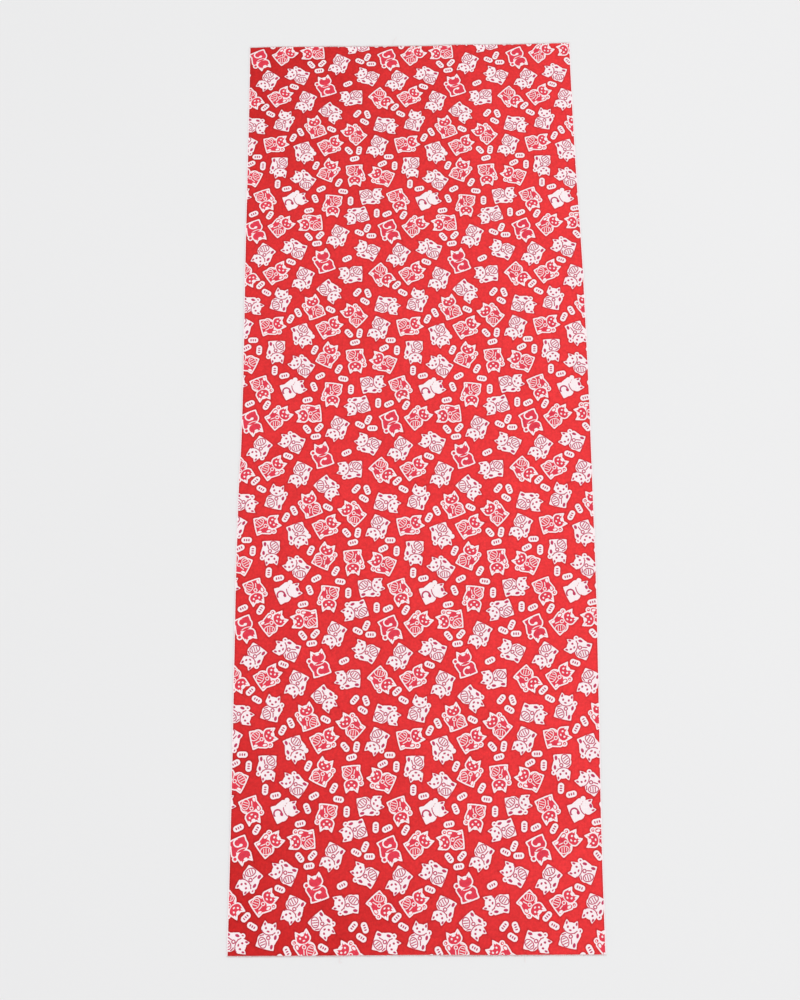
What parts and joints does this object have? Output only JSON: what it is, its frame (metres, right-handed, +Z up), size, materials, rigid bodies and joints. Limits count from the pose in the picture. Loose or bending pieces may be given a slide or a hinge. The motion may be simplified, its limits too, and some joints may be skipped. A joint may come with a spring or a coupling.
{
  "type": "printed cotton hand towel",
  "caption": "Long narrow hand towel of thin plain-woven cotton with an all-over tossed print, raw-cut ends, lying flat and folding across its width at its storage creases.",
  "frame": {"origin": "under the middle of the flat cloth, on the surface it lies on", "axes": "+X across the width towards the right selvedge, +Y along the length towards the far raw end, +Z up out of the printed face"},
  "size_m": [0.335, 0.9183, 0.0004],
  "materials": {
    "printed_cotton": "red plain-woven cotton with an undyed print",
    "selvedge_cotton": "woven edge, red with an undyed outer margin",
    "undyed_yarn": "undyed cotton yarn"
  },
  "bodies": {
    "panel_1": {"cloth_panel_1": "printed_cotton", "selvedge_left_1": "selvedge_cotton", "selvedge_right_1": "selvedge_cotton", "frayed_end_near": "undyed_yarn", "loose_yarn_near_left": "undyed_yarn", "loose_yarn_near_right": "undyed_yarn"},
    "panel_2": {"cloth_panel_2": "printed_cotton", "selvedge_left_2": "selvedge_cotton", "selvedge_right_2": "selvedge_cotton"},
    "panel_3": {"cloth_panel_3": "printed_cotton", "selvedge_left_3": "selvedge_cotton", "selvedge_right_3": "selvedge_cotton"},
    "panel_4": {"cloth_panel_4": "printed_cotton", "selvedge_left_4": "selvedge_cotton", "selvedge_right_4": "selvedge_cotton", "frayed_end_far": "undyed_yarn", "loose_yarn_far": "undyed_yarn"}
  },
  "joints": [
    {"name": "near_fold", "type": "hinge", "parent": "panel_1", "child": "panel_2", "pos_m": [0, -0.229, 0.0023], "axis": [1, 0, 0], "range_deg": [0, 180]},
    {"name": "middle_fold", "type": "hinge", "parent": "panel_2", "child": "panel_3", "pos_m": [0, 0, 0.0016], "axis": [1, 0, 0], "range_deg": [0, 180]},
    {"name": "far_fold", "type": "hinge", "parent": "panel_3", "child": "panel_4", "pos_m": [0, 0.229, 0.0009], "axis": [1, 0, 0], "range_deg": [0, 180]}
  ]
}
